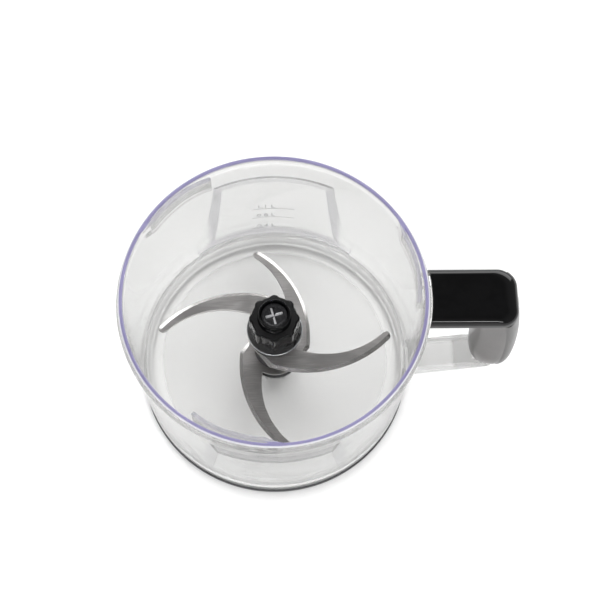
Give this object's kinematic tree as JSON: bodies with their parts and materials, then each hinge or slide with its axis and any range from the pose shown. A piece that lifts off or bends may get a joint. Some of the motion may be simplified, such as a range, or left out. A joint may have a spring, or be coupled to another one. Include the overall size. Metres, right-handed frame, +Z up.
{
  "type": "food processor bowl with blade",
  "caption": "Clear food processor work bowl with a side handle, lid ramps, an in-bowl drive spindle and a lift-out two-tier scythe blade.",
  "frame": {"origin": "on the bowl's axis, in the plane of the foot that it stands on", "axes": "+Z up along the bowl's and the blade's axis, +X towards the handle"},
  "size_m": [0.2459, 0.1868, 0.128],
  "materials": {
    "clear_plastic": "clear polished",
    "dark_tpe": "matte",
    "bronze": "sintered",
    "seal_rubber": "matte",
    "black_gloss": "gloss",
    "pewter_light": "metallic paint",
    "pewter_dark": "metallic paint",
    "zinc_screw": "zinc plated",
    "white_acetal": "satin",
    "spring_steel": "drawn wire",
    "ground_steel": "ground",
    "black_nylon": "satin",
    "black_matte": "satin",
    "blade_steel": "satin ground",
    "bright_ring": "polished",
    "grey_plastic": "satin"
  },
  "bodies": {
    "bowl": {"bowl_shell": "clear_plastic", "foot_ring": "dark_tpe", "bushing_lower": "bronze", "bushing_upper": "bronze", "post_seal": "seal_rubber", "handle_cap": "black_gloss", "grip_inner": "pewter_light", "grip_outer": "pewter_dark", "cap_screw": "zinc_screw", "rod_spring": "spring_steel"},
    "drive": {"drive_spindle": "ground_steel", "drive_coupling": "black_nylon", "washer_lower": "white_acetal", "washer_upper": "white_acetal", "blade_driver": "black_nylon", "driver_pin": "ground_steel", "retaining_ring": "spring_steel"},
    "blade_set": {"hub_core": "black_matte", "lower_blade": "blade_steel", "blade_spacer": "black_matte", "upper_blade": "blade_steel", "clamp_collar": "black_gloss", "trim_ring": "bright_ring", "grip_collar": "black_gloss", "knob_cup": "black_gloss", "knob_insert": "grey_plastic"},
    "interlock": {"interlock_rod": "white_acetal", "interlock_button": "black_gloss"}
  },
  "joints": [
    {"name": "drive_spin", "type": "hinge", "parent": "bowl", "child": "drive", "pos_m": [0, 0, 0.03], "axis": [0, 0, 1], "continuous": true},
    {"name": "blade_lift", "type": "slide", "parent": "drive", "child": "blade_set", "axis": [0, 0, 1], "range_m": [0, 0.13]},
    {"name": "interlock_press", "type": "slide", "parent": "bowl", "child": "interlock", "axis": [0, 0, -1], "range_m": [0, 0.005], "stiffness_N_per_m": 350, "springref_m": -0.006, "deforming": ["rod_spring"]}
  ]
}
